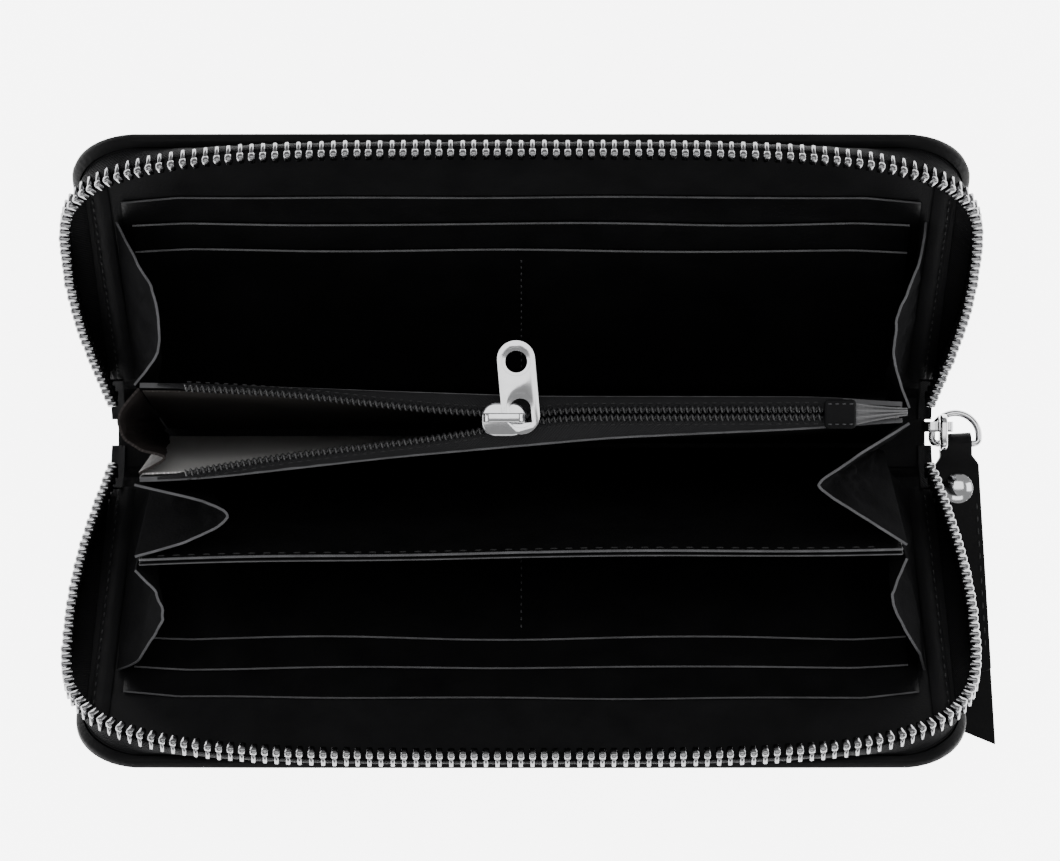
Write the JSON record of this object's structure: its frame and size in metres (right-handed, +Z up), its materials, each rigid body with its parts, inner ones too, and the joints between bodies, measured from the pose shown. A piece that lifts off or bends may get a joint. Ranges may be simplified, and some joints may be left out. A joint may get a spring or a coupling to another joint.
{
  "type": "long wallet",
  "caption": "Zip-around long wallet standing open on its spine: two covers with card pockets, a zipped coin pocket, a divider, folded gussets and a wrist strap.",
  "frame": {"origin": "middle of the flat underside of the spine, where the open wallet stands", "axes": "+X along the spine towards the strap end, +Y towards the rear cover, +Z up towards the mouth"},
  "size_m": [0.2128, 0.138, 0.0952],
  "materials": {
    "leather": "satin",
    "lining_leather": "matte",
    "twill_lining": "matte",
    "zip_tape": "matte",
    "nylon_coil": "satin",
    "nickel": "polished",
    "zip_metal": "satin",
    "thread": "matte",
    "board": "matte"
  },
  "bodies": {
    "core": {"coin_front_coil": "nylon_coil", "coin_front_lining": "twill_lining", "coin_front_wall": "leather", "coin_front_zip_tape": "zip_tape", "coin_gusset_left": "leather", "coin_rear_coil": "nylon_coil", "coin_rear_lining": "twill_lining", "coin_rear_wall": "leather", "coin_rear_zip_tape": "zip_tape", "coin_zip_end_tab": "leather", "coin_zip_gathered_end": "zip_tape", "gusset_front_left": "leather", "gusset_front_right": "leather", "gusset_middle_left": "leather", "gusset_middle_right": "leather", "gusset_rear_left": "leather", "gusset_rear_right": "leather", "spine_board": "board", "spine_leather": "leather", "spine_lining": "lining_leather"},
    "coin_pull": {"coin_pull_tab": "nickel"},
    "coin_slider": {"coin_slider_bail": "nickel", "coin_slider_body": "nickel"},
    "pull_ring": {"d_ring": "nickel"},
    "divider": {"divider_front_ply": "lining_leather", "divider_rear_ply": "lining_leather", "divider_stitching": "thread"},
    "front_cover": {"front_card_row_lower": "lining_leather", "front_card_row_upper": "lining_leather", "front_centre_stitching": "thread", "front_cover_board": "board", "front_cover_leather": "leather", "front_cover_lining": "lining_leather", "front_slip_pocket": "lining_leather", "front_welt_left": "leather", "front_welt_right": "leather", "front_zip_tape": "zip_tape", "front_zip_teeth": "zip_metal"},
    "main_slider": {"main_slider_bail": "nickel", "main_slider_body": "nickel"},
    "rear_cover": {"rear_card_row_lower": "lining_leather", "rear_card_row_upper": "lining_leather", "rear_centre_stitching": "thread", "rear_cover_board": "board", "rear_cover_leather": "leather", "rear_cover_lining": "lining_leather", "rear_slip_pocket": "lining_leather", "rear_welt_left": "leather", "rear_welt_right": "leather", "rear_zip_tape": "zip_tape", "rear_zip_teeth": "zip_metal"},
    "wrist_strap": {"strap_leather": "leather", "strap_rivet": "nickel"}
  },
  "joints": [
    {"name": "rear_cover_hinge", "type": "hinge", "parent": "core", "child": "rear_cover", "pos_m": [0, 0.0085, 0.003], "axis": [1, 0, 0], "range_deg": [0, 33.5], "deforming": ["gusset_rear_left", "gusset_rear_right", "coin_rear_wall", "coin_front_wall", "coin_rear_lining", "coin_front_lining", "coin_rear_coil", "coin_front_coil", "coin_rear_zip_tape", "coin_front_zip_tape", "coin_zip_end_tab", "coin_zip_gathered_end", "coin_gusset_left"]},
    {"name": "front_cover_hinge", "type": "hinge", "parent": "core", "child": "front_cover", "pos_m": [0, -0.0085, 0.003], "axis": [-1, 0, 0], "range_deg": [0, 39.8], "deforming": ["gusset_front_left", "gusset_front_right", "gusset_middle_left", "gusset_middle_right", "coin_rear_wall", "coin_front_wall", "coin_rear_lining", "coin_front_lining", "coin_rear_coil", "coin_front_coil", "coin_rear_zip_tape", "coin_front_zip_tape", "coin_zip_end_tab", "coin_zip_gathered_end", "coin_gusset_left"]},
    {"name": "divider_hinge", "type": "hinge", "parent": "core", "child": "divider", "pos_m": [0, -0.0042, 0.003], "axis": [-1, 0, 0], "range_deg": [0, 17], "deforming": ["gusset_front_left", "gusset_front_right", "gusset_middle_left", "gusset_middle_right", "coin_rear_wall", "coin_front_wall", "coin_rear_lining", "coin_front_lining", "coin_rear_coil", "coin_front_coil", "coin_rear_zip_tape", "coin_front_zip_tape", "coin_zip_end_tab", "coin_zip_gathered_end", "coin_gusset_left"]},
    {"name": "main_zip_play", "type": "slide", "parent": "core", "child": "main_slider", "axis": [0, 0, 1], "range_m": [0, 0.003]},
    {"name": "ring_swivel", "type": "hinge", "parent": "main_slider", "child": "pull_ring", "pos_m": [0.1014, -0.001, 0.0025], "axis": [0, 0, 1], "range_deg": [0, 80]},
    {"name": "strap_hinge", "type": "hinge", "parent": "pull_ring", "child": "wrist_strap", "pos_m": [0.1014, -0.0026, 0.0025], "axis": [-1, 0, 0], "range_deg": [0, 35]},
    {"name": "coin_zip", "type": "slide", "parent": "core", "child": "coin_slider", "axis": [1, 0, 0], "range_m": [-0.064, 0.062], "deforming": ["coin_rear_coil", "coin_front_coil", "coin_rear_zip_tape", "coin_front_zip_tape", "coin_front_wall", "coin_rear_wall", "coin_front_lining", "coin_rear_lining", "coin_zip_end_tab"]},
    {"name": "coin_pull_swivel", "type": "hinge", "parent": "coin_slider", "child": "coin_pull", "pos_m": [-0.0013, 0.0036, 0.084], "axis": [0, 0, -1], "range_deg": [0, 95]}
  ],
  "couplings": [
    {"joint": "divider_hinge", "follows": "front_cover_hinge", "ratio": 0.42714},
    {"joint": "coin_pull_swivel", "follows": "rear_cover_hinge", "ratio": 2.8358}
  ]
}
